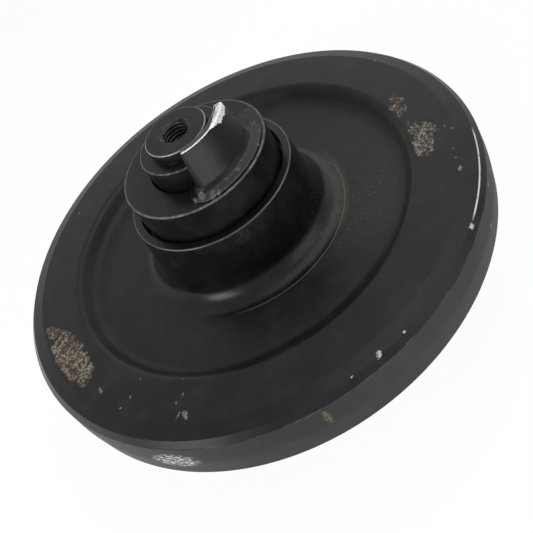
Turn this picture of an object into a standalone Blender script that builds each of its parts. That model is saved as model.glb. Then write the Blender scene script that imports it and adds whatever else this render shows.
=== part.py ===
"""Rear idler of a tracked loader: a single-disc wheel that turns on a fixed, oil-filled shaft.

The spin axis is +Z and the origin is the middle of the wheel on that axis. Each end of the fixed
shaft carries a pinned collar, whose lug stands towards -Y and stops the shaft from turning in the
track frame. A pair of lapped seal rings, each on its own rubber toric, closes each hub end.
"""

import math

import bmesh
import bpy
from mathutils import Vector

MM = 0.001

# Wheel: rim, web and hub, the same on both faces.
TREAD_RADIUS = 200 * MM
TREAD_WIDTH = 36.6 * MM
TREAD_CROWN = 1.0 * MM
CHAMFER_DEPTH = 4.2 * MM
CHAMFER_WIDTH = 4.6 * MM
BEVEL_DEPTH = 10.8 * MM
BEVEL_RISE = 3.0 * MM
RIM_FACE_WIDTH = 37.0 * MM
RIM_STEP_RUN = 10.0 * MM
RIM_STEP_ROUND = 8.0 * MM
WEB_THICKNESS = 27.0 * MM
WEB_FILLET_AT_RIM = 12.0 * MM
WEB_FILLET_AT_HUB = 17.0 * MM
HUB_DRAFT = 5.3 * MM
HUB_LAND = 6.8 * MM
HUB_EDGE = 1.5 * MM
GROOVE_WIDTH = 2.0 * MM
GROOVE_DEPTH = 10.8 * MM

# Shaft: a tapped hole in each end, and an oil gallery that starts in the rear one.
SHAFT_RADIUS = 34.5 * MM
SHAFT_EDGE = 1.2 * MM
SHAFT_STANDING_OUT = 18.2 * MM
SPIGOT_RADIUS = 25.0 * MM
SPIGOT_LENGTH = 8.6 * MM
SPIGOT_EDGE = 1.0 * MM
TAPPED_RADIUS = 10.4 * MM
TAPPED_DEPTH = 46.0 * MM
TAPPED_MOUTH = 1.7 * MM
DRILL_POINT = math.radians(31)
GALLERY_RADIUS = 3.5 * MM
PLUG_RADIUS = 6.5 * MM
PLUG_LENGTH = 11.0 * MM
PLUG_HEX_RADIUS = 3.5 * MM
PLUG_HEX_DEPTH = 5.0 * MM

# Bearings: oil chamber, wrapped bushes and thrust washers.
CHAMBER_HALF_LENGTH = 11.0 * MM
CHAMBER_DEPTH = 3.3 * MM
BUSH_WALL = 4.6 * MM
BUSH_LENGTH = 30.7 * MM
WASHER_WIDTH = 9.6 * MM
WASHER_THICKNESS = 3.0 * MM
WASHER_POCKET_DEPTH = 5.5 * MM

# Face seals: one ring and toric in the hub, one in the collar, between parallel cones.
SEAL_TAPER = math.radians(15)
SEAL_LENGTH = 10.0 * MM
SEAL_TAIL_WALL = 2.8 * MM
SEAL_FLANGE = 3.5 * MM
SEAL_FLANGE_THICKNESS = 2.5 * MM
TORIC_THICKNESS = 6.0 * MM
SEAT_DEPTH = 12.5 * MM
HOUSING_GAP = 3.6 * MM

# Collar with its lug on a cast pad, and the pin and O-ring between it and the shaft.
NOSE_WALL = 5.5 * MM
SKIRT_WALL = 6.6 * MM
SKIRT_EDGE = 0.8 * MM
COLLAR_BACK = 23.0 * MM
COLLAR_EDGE = 2.0 * MM
LUG_HEIGHT = 35.4 * MM
LUG_WALL = 10.0 * MM
LUG_HALF_ANGLE = math.radians(43)
LUG_BORE_RELIEF = 1.5 * MM
LUG_CORNER = 5.5 * MM
LUG_TOP_ROUND = 5.0 * MM
LUG_FILLET = 4.4 * MM
LUG_DRAFT = math.radians(1.5)
PAD_HEIGHT = 1.6 * MM
PAD_HALF_ANGLE = math.radians(52)
PAD_INSIDE_RIM = 2.6 * MM
PAD_CORNER = 12.0 * MM
PAD_EDGE = 0.8 * MM
PAD_ROOT = 2.0 * MM
O_RING_THICKNESS = 4.0 * MM
O_RING_FROM_SEAT = 4.0 * MM
O_RING_GROOVE_WIDTH = 5.0 * MM
PIN_RADIUS = 4.0 * MM
PIN_FROM_FACE = 6.6 * MM
PIN_BITE = 17.0 * MM
PIN_BELOW_SURFACE = 0.8 * MM
PIN_EDGE = 0.5 * MM

# Clearances between neighbours.
CLEARANCE = 0.3 * MM
SEAL_BORE_CLEARANCE = 0.7 * MM
LAPPED_FACE_GAP = 0.3 * MM
CUT_OVERRUN = 1.0 * MM

# Sides of the round pieces, and the angle past which an edge stays sharp.
WHEEL_SIDES = 56
COLLAR_SIDES = 40
SHAFT_SIDES = 36
INNER_SIDES = 28
TORIC_SIDES = 6
DRILL_SIDES = 14
SHARP_ANGLE = math.radians(35)

# Radial stack, from the shaft outwards.
BORE_RADIUS = SHAFT_RADIUS + CLEARANCE
BUSH_OUTER_RADIUS = BORE_RADIUS + BUSH_WALL
HUB_BORE_RADIUS = BUSH_OUTER_RADIUS + CLEARANCE
CHAMBER_RADIUS = HUB_BORE_RADIUS + CHAMBER_DEPTH
WASHER_INNER_RADIUS = BORE_RADIUS + CLEARANCE
WASHER_OUTER_RADIUS = WASHER_INNER_RADIUS + WASHER_WIDTH
NOSE_RADIUS = BORE_RADIUS + NOSE_WALL
SEAL_BORE_RADIUS = NOSE_RADIUS + SEAL_BORE_CLEARANCE
SEAL_TAIL_RADIUS = SEAL_BORE_RADIUS + SEAL_TAIL_WALL
CONE_SPACING = (TORIC_THICKNESS + 2 * CLEARANCE) / math.cos(SEAL_TAPER)

# Axial stack, from the middle of the wheel to the front.
BUSH_SEAT_END = CHAMBER_HALF_LENGTH + BUSH_LENGTH + CLEARANCE
WASHER_START = BUSH_SEAT_END + CLEARANCE
NOSE_END = WASHER_START + WASHER_THICKNESS + CLEARANCE
HUB_SEAT_FLOOR = BUSH_SEAT_END + WASHER_POCKET_DEPTH
SEAL_PLANE = HUB_SEAT_FLOOR + SEAT_DEPTH
GROOVE_FLOOR = SEAL_PLANE - HOUSING_GAP / 2
HUB_END = GROOVE_FLOOR + GROOVE_DEPTH
SKIRT_END = SEAL_PLANE + HOUSING_GAP / 2
COLLAR_SEAT_FLOOR = SEAL_PLANE + SEAT_DEPTH
COLLAR_FACE = COLLAR_SEAT_FLOOR + COLLAR_BACK
SHAFT_SHOULDER = COLLAR_FACE + SHAFT_STANDING_OUT
SHAFT_END = SHAFT_SHOULDER + SPIGOT_LENGTH
O_RING_HEIGHT = COLLAR_SEAT_FLOOR + O_RING_FROM_SEAT + O_RING_GROOVE_WIDTH / 2
O_RING_RADIUS = SHAFT_RADIUS + CLEARANCE + O_RING_THICKNESS / 2
PIN_HEIGHT = COLLAR_FACE - PIN_FROM_FACE
PIN_TIP_RADIUS = SHAFT_RADIUS - PIN_BITE


def ring_cone(distance):
    """Radius of a seal ring's cone at a distance from the lapped faces; it narrows away from them."""
    return SEAL_TAIL_RADIUS + (SEAL_LENGTH - distance) * math.tan(SEAL_TAPER)


def housing_cone(distance):
    """Radius of the cone in the hub or the collar that holds the toric, parallel to the ring's."""
    return ring_cone(distance) + CONE_SPACING


COLLAR_RADIUS = housing_cone(HOUSING_GAP / 2) + SKIRT_WALL
GROOVE_RADIUS = COLLAR_RADIUS + GROOVE_WIDTH
HUB_RADIUS = GROOVE_RADIUS + HUB_LAND


# Scene helpers.


def new_collection(name):
    """Add a collection to the scene."""
    collection = bpy.data.collections.new(name)
    bpy.context.scene.collection.children.link(collection)
    return collection


def new_material(name, colour, roughness, metallic):
    """A Principled material with a plain colour."""
    material = bpy.data.materials.new(name)
    material.use_nodes = True
    shader = material.node_tree.nodes["Principled BSDF"]
    shader.inputs["Base Color"].default_value = (*colour, 1.0)
    shader.inputs["Roughness"].default_value = roughness
    shader.inputs["Metallic"].default_value = metallic
    material.diffuse_color = (*colour, 1.0)
    return material


def new_empty(name, parent=None, turned_round=False):
    """An empty on the spin axis; turned round, it puts a front piece on the rear end."""
    empty = bpy.data.objects.new(name, None)
    empty.rotation_euler = (0.0, math.pi if turned_round else 0.0, 0.0)
    empty.parent = parent
    parts.objects.link(empty)
    return empty


def add_object(name, mesh, material, parent):
    """Put a mesh in the model as one named sub-part."""
    obj = bpy.data.objects.new(name, mesh)
    mesh.materials.append(material)
    obj.parent = parent
    parts.objects.link(obj)
    return obj


def make_tool(obj):
    """Keep an object out of the model, as the tool of a Boolean."""
    parts.objects.unlink(obj)
    cutters.objects.link(obj)
    obj.hide_render = True
    obj.display_type = "WIRE"
    return obj


def use_tool(obj, tool, operation="DIFFERENCE"):
    """Cut a tool from an object, or join it on."""
    boolean = obj.modifiers.new(tool.name, "BOOLEAN")
    boolean.operation = operation
    boolean.object = tool
    boolean.solver = "EXACT"


def smooth_by_angle_nodes():
    """A node group that shades a mesh smooth and keeps edges sharper than SHARP_ANGLE sharp."""
    group = bpy.data.node_groups.new("smooth_by_angle", "GeometryNodeTree")
    group.interface.new_socket("Geometry", in_out="INPUT", socket_type="NodeSocketGeometry")
    group.interface.new_socket("Geometry", in_out="OUTPUT", socket_type="NodeSocketGeometry")
    nodes = group.nodes
    start = nodes.new("NodeGroupInput")
    faces = nodes.new("GeometryNodeSetShadeSmooth")
    faces.domain = "FACE"
    angle = nodes.new("GeometryNodeInputMeshEdgeAngle")
    gentle = nodes.new("FunctionNodeCompare")
    gentle.operation = "LESS_THAN"
    gentle.inputs["B"].default_value = SHARP_ANGLE
    edges = nodes.new("GeometryNodeSetShadeSmooth")
    edges.domain = "EDGE"
    end = nodes.new("NodeGroupOutput")
    group.links.new(start.outputs[0], faces.inputs["Geometry"])
    group.links.new(faces.outputs[0], edges.inputs["Geometry"])
    group.links.new(angle.outputs["Unsigned Angle"], gentle.inputs["A"])
    group.links.new(gentle.outputs["Result"], edges.inputs["Shade Smooth"])
    group.links.new(edges.outputs[0], end.inputs[0])
    return group


def shade_round(obj):
    """Shade a finished piece by angle, after all its other modifiers."""
    obj.modifiers.new("Shading", "NODES").node_group = shading


# Shapes that more than one piece is made of.


def rounded(corners):
    """Points of a section whose corners are (radius, height) or (radius, height, fillet, steps).

    A filleted corner becomes an arc tangent to both its sides, at most 45% of either side long.
    """
    points = []
    for index, corner in enumerate(corners):
        if len(corner) == 2:
            points.append(corner)
            continue
        here = Vector(corner[:2])
        before = Vector(corners[index - 1][:2]) - here
        after = Vector(corners[(index + 1) % len(corners)][:2]) - here
        half_angle = before.angle(after) / 2
        tangent = min(corner[2] / math.tan(half_angle), 0.45 * before.length, 0.45 * after.length)
        radius = tangent * math.tan(half_angle)
        inward = (before.normalized() + after.normalized()).normalized()
        centre = here + inward * (radius / math.sin(half_angle))
        first = here + before.normalized() * tangent - centre
        last = here + after.normalized() * tangent - centre
        start = math.atan2(first.y, first.x)
        turn = (math.atan2(last.y, last.x) - start + math.pi) % (2 * math.pi) - math.pi
        for step in range(corner[3] + 1):
            angle = start + turn * step / corner[3]
            points.append((centre.x + radius * math.cos(angle), centre.y + radius * math.sin(angle)))
    return points


def both_faces(half):
    """A section and its mirror image in the wheel's middle plane, as one run of points."""
    return half + [(r, -z) for r, z in reversed(half) if z > 0]


def block(inner, outer, low, high):
    """Section of a plain ring."""
    return [(inner, low), (inner, high), (outer, high), (outer, low)]


def disc_of(radius, height, thickness):
    """Round section of a toric or an O-ring."""
    points = []
    for side in range(TORIC_SIDES):
        angle = math.pi - 2 * math.pi * (side + 0.5) / TORIC_SIDES
        across = thickness / 2 * math.cos(angle)
        up = thickness / 2 * math.sin(angle)
        points.append((radius + across, height + up))
    return points


def turned(name, section, sides, material, parent, closed=True):
    """A turned piece: a section of (radius, height), down its outer side, on a Screw about Z."""
    mesh = bpy.data.meshes.new(name)
    count = len(section)
    edges = [(i, (i + 1) % count) for i in range(count if closed else count - 1)]
    mesh.from_pydata([(r, 0.0, z) for r, z in section], edges, [])
    obj = add_object(name, mesh, material, parent)
    screw = obj.modifiers.new("Turn", "SCREW")
    screw.steps = sides
    screw.render_steps = sides
    screw.use_merge_vertices = True
    screw.merge_threshold = 0.01 * MM
    return obj


def rod(name, radius, start, end, sides, material, parent, edge=0.0):
    """A round bar from one point to another, with an optional chamfer at both ends."""
    mesh = bpy.data.meshes.new(name)
    shape = bmesh.new()
    start, end = Vector(start), Vector(end)
    length = (end - start).length
    bmesh.ops.create_cone(
        shape, cap_ends=True, segments=sides, radius1=radius, radius2=radius, depth=length
    )
    if edge:
        rims = [e for e in shape.edges if abs(e.verts[0].co.z - e.verts[1].co.z) < length / 2]
        bmesh.ops.bevel(shape, geom=rims, offset=edge, segments=1, affect="EDGES")
    shape.to_mesh(mesh)
    shape.free()
    obj = add_object(name, mesh, material, parent)
    obj.location = (start + end) / 2
    obj.rotation_mode = "QUATERNION"
    obj.rotation_quaternion = (end - start).to_track_quat("Z", "Y")
    return obj


# Wheel.


def wheel_section():
    """Section of the wheel, from the oil chamber over the seal seats, the hub, the web and the rim."""
    tread_edge = TREAD_WIDTH / 2
    face_edge = tread_edge + CHAMFER_WIDTH
    rim_face = face_edge + BEVEL_RISE
    rim_outer = TREAD_RADIUS - CHAMFER_DEPTH
    rim_inner = rim_outer - BEVEL_DEPTH - RIM_FACE_WIDTH
    web_face = WEB_THICKNESS / 2
    washer_pocket = WASHER_OUTER_RADIUS + CLEARANCE
    half = [
        (CHAMBER_RADIUS, CHAMBER_HALF_LENGTH - CHAMBER_DEPTH),
        (HUB_BORE_RADIUS, CHAMBER_HALF_LENGTH),
        (HUB_BORE_RADIUS, BUSH_SEAT_END),
        (washer_pocket, BUSH_SEAT_END),
        (washer_pocket, HUB_SEAT_FLOOR),
        (housing_cone(SEAT_DEPTH), HUB_SEAT_FLOOR),
        (housing_cone(HOUSING_GAP / 2), GROOVE_FLOOR),
        (GROOVE_RADIUS, GROOVE_FLOOR),
        (GROOVE_RADIUS, HUB_END),
        (HUB_RADIUS, HUB_END, HUB_EDGE, 2),
        (HUB_RADIUS + HUB_DRAFT, web_face, WEB_FILLET_AT_HUB, 4),
        (rim_inner - RIM_STEP_RUN, web_face, WEB_FILLET_AT_RIM, 2),
        (rim_inner, rim_face, RIM_STEP_ROUND, 2),
        (rim_outer - BEVEL_DEPTH, rim_face),
        (rim_outer, face_edge),
        (TREAD_RADIUS, tread_edge),
        (TREAD_RADIUS + TREAD_CROWN, 0.0),
    ]
    return both_faces(rounded(half))


def build_wheel():
    """The cast wheel, turned on all the surfaces that run or seal."""
    wheel = turned("idler_wheel", wheel_section(), WHEEL_SIDES, black_paint, wheel_axis)
    shade_round(wheel)


# Shaft and oil plug.


def shaft_section():
    """Section of the shaft, from the drill point of the front hole over the end to the rear one."""
    hole_floor = SHAFT_END - TAPPED_DEPTH
    half = [
        (0.0, hole_floor - TAPPED_RADIUS * math.tan(DRILL_POINT)),
        (TAPPED_RADIUS, hole_floor),
        (TAPPED_RADIUS, SHAFT_END - TAPPED_MOUTH),
        (TAPPED_RADIUS + TAPPED_MOUTH, SHAFT_END),
        (SPIGOT_RADIUS - SPIGOT_EDGE, SHAFT_END),
        (SPIGOT_RADIUS, SHAFT_END - SPIGOT_EDGE),
        (SPIGOT_RADIUS, SHAFT_SHOULDER),
        (SHAFT_RADIUS - SHAFT_EDGE, SHAFT_SHOULDER),
        (SHAFT_RADIUS, SHAFT_SHOULDER - SHAFT_EDGE),
    ]
    return both_faces(half)


def drill(name, radius, start, end, parent, sides=DRILL_SIDES):
    """A straight hole, as a tool."""
    return make_tool(rod(name, radius, start, end, sides, seal_steel, parent))


def build_shaft():
    """The shaft, its pin holes, and the gallery from the rear hole to the oil chamber."""
    shaft = turned("shaft", shaft_section(), SHAFT_SIDES, black_paint, shaft_axis, closed=False)
    for end, parent in shaft_ends.items():
        use_tool(shaft, pin_hole(f"shaft_pin_hole_{end}", parent))
    seat_radius = PLUG_RADIUS + CLEARANCE
    point_depth = (TAPPED_RADIUS - seat_radius) * math.tan(DRILL_POINT)
    seat_mouth = -(SHAFT_END - TAPPED_DEPTH - point_depth)
    plug_end = seat_mouth + PLUG_LENGTH
    seat = drill(
        "plug_seat", seat_radius, (0, 0, -SHAFT_END + TAPPED_DEPTH / 2), (0, 0, plug_end), shaft_axis
    )
    along = drill("gallery_along", GALLERY_RADIUS, (0, 0, seat_mouth), (0, 0, 0), shaft_axis)
    across = drill(
        "gallery_across",
        GALLERY_RADIUS,
        (0, -GALLERY_RADIUS, 0),
        (0, SHAFT_RADIUS + CUT_OVERRUN, 0),
        shaft_axis,
    )
    for tool in (seat, along, across):
        use_tool(shaft, tool)
    shade_round(shaft)

    mouth = (0, 0, seat_mouth)
    plug = rod(
        "oil_plug",
        PLUG_RADIUS,
        mouth,
        (0, 0, plug_end - CLEARANCE),
        DRILL_SIDES,
        seal_steel,
        shaft_axis,
        PIN_EDGE,
    )
    hex_floor = (0, 0, seat_mouth + PLUG_HEX_DEPTH)
    hex_start = (0, 0, seat_mouth - CUT_OVERRUN)
    use_tool(plug, drill("plug_hex", PLUG_HEX_RADIUS, hex_start, hex_floor, shaft_axis, sides=6))
    shade_round(plug)


# Collars, each with its lug, pin and O-ring.


def collar_section():
    """Section of the collar: bore with O-ring groove, outer face, skirt, seal seat and nose."""
    groove_radius = O_RING_RADIUS + O_RING_THICKNESS / 2 + CLEARANCE
    groove_low = O_RING_HEIGHT - O_RING_GROOVE_WIDTH / 2
    groove_high = O_RING_HEIGHT + O_RING_GROOVE_WIDTH / 2
    return rounded(
        [
            (BORE_RADIUS, NOSE_END),
            (BORE_RADIUS, groove_low),
            (groove_radius, groove_low),
            (groove_radius, groove_high),
            (BORE_RADIUS, groove_high),
            (BORE_RADIUS, COLLAR_FACE),
            (COLLAR_RADIUS, COLLAR_FACE, COLLAR_EDGE, 2),
            (COLLAR_RADIUS, SKIRT_END + SKIRT_EDGE),
            (COLLAR_RADIUS - SKIRT_EDGE, SKIRT_END),
            (housing_cone(HOUSING_GAP / 2), SKIRT_END),
            (housing_cone(SEAT_DEPTH), COLLAR_SEAT_FLOOR),
            (NOSE_RADIUS, COLLAR_SEAT_FLOOR),
            (NOSE_RADIUS, NOSE_END),
        ]
    )


def polar(radius, angle):
    """A point in plan, at an angle from -Y towards +X."""
    return Vector((radius * math.sin(angle), -radius * math.cos(angle)))


def lug_outline(inner, outer, half_angle, corner_radius, offset):
    """Plan of an arc-shaped block towards -Y, grown by an offset on all sides but its bore.

    Its ends lie on radial lines moved outwards by the offset, and its outer corners are rounded
    about centres that stay put, so that outlines of different offsets lie parallel.
    """
    end_angle = half_angle + math.asin(offset / inner)
    corner_reach = outer - corner_radius
    corner_angle = half_angle - math.asin(corner_radius / corner_reach)
    corner = polar(corner_reach, corner_angle)
    half = [polar(outer + offset, corner_angle * step / 3) for step in range(3)]
    for step in range(4):
        turn = corner_angle + (math.pi / 2 - corner_angle + half_angle) * step / 3
        half.append(corner + polar(corner_radius + offset, turn))
    bore = [polar(inner, end_angle * (1 - step / 4)) for step in range(9)]
    return bore + [Vector((-x, y)) for x, y in reversed(half[1:])] + half


def lug_levels():
    """Outlines of the lug with their heights above the collar's face: the cast pad that the facing
    cut leaves round its foot, the foot fillet, the drafted wall, and the rounded top."""
    inner = BORE_RADIUS + LUG_BORE_RELIEF
    outer = inner + LUG_WALL
    pad = (inner, COLLAR_RADIUS - PAD_INSIDE_RIM, PAD_HALF_ANGLE, PAD_CORNER)
    wall = (inner, outer, LUG_HALF_ANGLE, LUG_CORNER)
    spread = (LUG_HEIGHT - PAD_HEIGHT) * math.tan(LUG_DRAFT)
    room_at_rim = pad[1] - PAD_EDGE - outer - spread
    room_at_end = inner * math.sin(PAD_HALF_ANGLE - LUG_HALF_ANGLE) - PAD_EDGE - spread
    fillet = min(LUG_FILLET, 0.95 * room_at_rim, 0.95 * room_at_end)
    levels = [
        (-PAD_ROOT, lug_outline(*pad, 0.0)),
        (PAD_HEIGHT - PAD_EDGE, lug_outline(*pad, 0.0)),
        (PAD_HEIGHT, lug_outline(*pad, -PAD_EDGE)),
    ]
    for degrees in (90, 60, 30, 0):
        angle = math.radians(degrees)
        height = PAD_HEIGHT + fillet * (1 - math.sin(angle))
        offset = fillet * (1 - math.cos(angle)) + (LUG_HEIGHT - height) * math.tan(LUG_DRAFT)
        levels.append((height, lug_outline(*wall, offset)))
    for degrees in (0, 30, 60, 90):
        angle = math.radians(degrees)
        height = LUG_HEIGHT - LUG_TOP_ROUND * (1 - math.sin(angle))
        levels.append((height, lug_outline(*wall, -LUG_TOP_ROUND * (1 - math.cos(angle)))))
    return levels


def build_lug(name, parent):
    """The lug and its pad as one loft through their outlines."""
    shape = bmesh.new()
    rings = []
    for height, outline in lug_levels():
        rings.append([shape.verts.new((x, y, COLLAR_FACE + height)) for x, y in outline])
    for low, high in zip(rings, rings[1:]):
        for index, vertex in enumerate(low):
            before = index - 1
            shape.faces.new((low[before], vertex, high[index], high[before]))
    shape.faces.new(rings[0])
    shape.faces.new(rings[-1])
    bmesh.ops.recalc_face_normals(shape, faces=shape.faces)
    mesh = bpy.data.meshes.new(name)
    shape.to_mesh(mesh)
    shape.free()
    return make_tool(add_object(name, mesh, black_paint, parent))


def pin_hole(name, parent):
    """The blind hole that a collar and the shaft share, on the side away from the lug."""
    return drill(
        name,
        PIN_RADIUS + CLEARANCE,
        (0, COLLAR_RADIUS + CUT_OVERRUN, PIN_HEIGHT),
        (0, PIN_TIP_RADIUS - CLEARANCE, PIN_HEIGHT),
        parent,
    )


def build_collar(end, parent):
    """One end's collar, its lock pin, and the O-ring that keeps oil in between collar and shaft."""
    collar = turned(f"collar_{end}", collar_section(), COLLAR_SIDES, black_paint, parent)
    use_tool(collar, build_lug(f"lug_{end}", parent), "UNION")
    use_tool(collar, pin_hole(f"collar_pin_hole_{end}", parent))
    shade_round(collar)

    pin_head = (0, COLLAR_RADIUS - PIN_BELOW_SURFACE, PIN_HEIGHT)
    pin_tip = (0, PIN_TIP_RADIUS, PIN_HEIGHT)
    pin = rod(
        f"lock_pin_{end}", PIN_RADIUS, pin_head, pin_tip, DRILL_SIDES, seal_steel, parent, PIN_EDGE
    )
    shade_round(pin)

    section = disc_of(O_RING_RADIUS, O_RING_HEIGHT, O_RING_THICKNESS)
    shade_round(turned(f"shaft_o_ring_{end}", section, INNER_SIDES, seal_rubber, parent))


# Bearings and face seals.


def build_bearing(end, parent):
    """One end's bush, pressed in the hub, and the thrust washer between the hub and the collar."""
    bush = block(
        BORE_RADIUS, BUSH_OUTER_RADIUS, CHAMBER_HALF_LENGTH, CHAMBER_HALF_LENGTH + BUSH_LENGTH
    )
    shade_round(turned(f"bush_{end}", bush, INNER_SIDES, bearing_bronze, parent))
    washer = block(
        WASHER_INNER_RADIUS, WASHER_OUTER_RADIUS, WASHER_START, WASHER_START + WASHER_THICKNESS
    )
    shade_round(turned(f"thrust_washer_{end}", washer, INNER_SIDES, bearing_bronze, parent))


def build_seal(kind, end, parent, outwards):
    """A lapped seal ring and its toric, on the collar's side (outwards = 1) or the hub's (-1)."""
    lapped = LAPPED_FACE_GAP / 2
    flange_back = SEAL_FLANGE_THICKNESS
    flange_radius = ring_cone(flange_back) + SEAL_FLANGE
    ring = [
        (SEAL_BORE_RADIUS, lapped),
        (SEAL_BORE_RADIUS, SEAL_LENGTH),
        (SEAL_TAIL_RADIUS, SEAL_LENGTH),
        (ring_cone(flange_back), flange_back),
        (flange_radius, flange_back),
        (flange_radius, lapped),
    ]
    section = [(r, SEAL_PLANE + outwards * distance) for r, distance in ring][::outwards]
    shade_round(turned(f"{kind}_seal_ring_{end}", section, INNER_SIDES, seal_steel, parent))

    distance = flange_back + CLEARANCE + TORIC_THICKNESS / 2
    radius = ring_cone(distance) + CONE_SPACING / 2
    section = disc_of(radius, SEAL_PLANE + outwards * distance, TORIC_THICKNESS)
    shade_round(turned(f"{kind}_toric_{end}", section, INNER_SIDES, seal_rubber, parent))


for leftover in list(bpy.data.objects):
    bpy.data.objects.remove(leftover, do_unlink=True)
parts = new_collection("rear_idler")
cutters = new_collection("cutters")
shading = smooth_by_angle_nodes()

black_paint = new_material("black_paint", (0.028, 0.029, 0.031), 0.42, 0.0)
bearing_bronze = new_material("bearing_bronze", (0.62, 0.42, 0.20), 0.35, 1.0)
seal_steel = new_material("seal_steel", (0.55, 0.55, 0.56), 0.28, 1.0)
seal_rubber = new_material("seal_rubber", (0.020, 0.020, 0.021), 0.65, 0.0)

shaft_axis = new_empty("shaft_axis")
wheel_axis = new_empty("wheel_axis")
shaft_ends = {
    "front": shaft_axis,
    "rear": new_empty("shaft_rear_end", shaft_axis, turned_round=True),
}
wheel_ends = {
    "front": wheel_axis,
    "rear": new_empty("wheel_rear_end", wheel_axis, turned_round=True),
}

build_wheel()
build_shaft()
for end in shaft_ends:
    build_collar(end, shaft_ends[end])
    build_bearing(end, wheel_ends[end])
    build_seal("fixed", end, shaft_ends[end], 1)
    build_seal("turning", end, wheel_ends[end], -1)
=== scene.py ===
import math

import bmesh
import bpy
import numpy as np
from mathutils import Matrix, Vector


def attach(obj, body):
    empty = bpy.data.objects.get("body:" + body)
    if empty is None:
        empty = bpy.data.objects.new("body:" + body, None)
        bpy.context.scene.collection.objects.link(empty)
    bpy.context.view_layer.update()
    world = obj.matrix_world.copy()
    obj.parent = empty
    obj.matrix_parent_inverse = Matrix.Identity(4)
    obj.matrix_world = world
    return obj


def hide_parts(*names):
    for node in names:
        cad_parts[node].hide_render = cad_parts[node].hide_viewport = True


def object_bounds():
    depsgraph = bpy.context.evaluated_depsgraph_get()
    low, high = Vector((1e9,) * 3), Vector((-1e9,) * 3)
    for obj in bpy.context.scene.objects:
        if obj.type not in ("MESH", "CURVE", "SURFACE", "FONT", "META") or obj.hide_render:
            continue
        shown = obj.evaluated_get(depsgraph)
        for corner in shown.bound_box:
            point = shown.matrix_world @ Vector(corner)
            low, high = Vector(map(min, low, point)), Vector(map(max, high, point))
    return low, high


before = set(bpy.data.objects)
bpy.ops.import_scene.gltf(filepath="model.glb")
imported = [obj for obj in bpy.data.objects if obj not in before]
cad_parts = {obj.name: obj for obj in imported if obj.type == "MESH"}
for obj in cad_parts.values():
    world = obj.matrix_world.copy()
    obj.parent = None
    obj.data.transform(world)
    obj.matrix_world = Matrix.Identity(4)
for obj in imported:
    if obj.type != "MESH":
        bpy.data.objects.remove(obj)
cad_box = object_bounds()

MM = 0.001
scene = bpy.context.scene
scene.view_settings.view_transform = "Standard"


# Camera: the photograph's view. The idler lies flat here, with its spin axis upright, so the
# camera is rolled to give the tilt at which it lies in the photograph.
CAMERA_PLACE = Vector((-0.2424, -0.4353, 0.4394))
CAMERA_RIGHT = Vector((0.5168, -0.7463, -0.4195))
CAMERA_BACK = Vector((-0.3457, -0.6302, 0.6952)).normalized()
CAMERA_UP = CAMERA_BACK.cross(CAMERA_RIGHT).normalized()
CAMERA_RIGHT = CAMERA_UP.cross(CAMERA_BACK)
camera_data = bpy.data.cameras.new("camera")
camera_data.lens = 54.03
camera_data.sensor_width = 36.0
camera_data.clip_start = 0.01
camera = bpy.data.objects.new("camera", camera_data)
scene.collection.objects.link(camera)
camera.matrix_world = Matrix.Translation(CAMERA_PLACE) @ Matrix(
    (CAMERA_RIGHT, CAMERA_UP, CAMERA_BACK)
).transposed().to_4x4()
scene.camera = camera


# Stage: a white floor just under the idler and white surroundings that give it little light, with
# five soft boxes: two above the camera, one to its right and two low on its left. The floor
# glows at the left and in front, for the reflections that the photograph shows there.
FLOOR_HEIGHT = cad_box[0][2] - 0.2 * MM
FLOOR_SIZE = 6.0
WHITE, BLACK = (1.0, 1.0, 1.0), (0.0, 0.0, 0.0)
WHITE_FLOOR, DIM_FLOOR = 0.82, 0.30
FLOOR_GLARE = 1.07
SURROUNDINGS = 0.15
SHADOW_SHARE = 0.12
SIDE_GLOW, FRONT_GLOW = 0.5, 4.6
GLOW = SIDE_GLOW + FRONT_GLOW
LAMP_DISTANCE = 1.2


class Field:
    """A value that a shader's nodes work out; arithmetic on it adds Math nodes."""

    def __init__(self, finish, socket):
        self.finish = finish
        self.socket = socket

    def math(self, operation, *others):
        return self.finish.node("ShaderNodeMath", {"operation": operation}, [self, *others])

    def __add__(self, other):
        return self.math("ADD", other)

    def __radd__(self, other):
        return self.math("ADD", other)

    def __sub__(self, other):
        return self.math("SUBTRACT", other)

    def __rsub__(self, other):
        return (self * -1.0).math("ADD", other)

    def __mul__(self, other):
        return self.math("MULTIPLY", other)

    def __rmul__(self, other):
        return self.math("MULTIPLY", other)

    def __abs__(self):
        return self.math("ABSOLUTE")

    def __getitem__(self, name):
        """One output, by its name, of the node that made this value."""
        return Field(self.finish, self.socket.node.outputs[name])

    def between(self, low, high, smooth=True):
        """0 below low and 1 above high, or the other way round where low is the larger."""
        settings = {"interpolation_type": "SMOOTHSTEP" if smooth else "LINEAR"}
        if low <= high:
            return self.finish.node("ShaderNodeMapRange", settings, [self, low, high, 0.0, 1.0])
        return self.finish.node("ShaderNodeMapRange", settings, [self, high, low, 1.0, 0.0])


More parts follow.
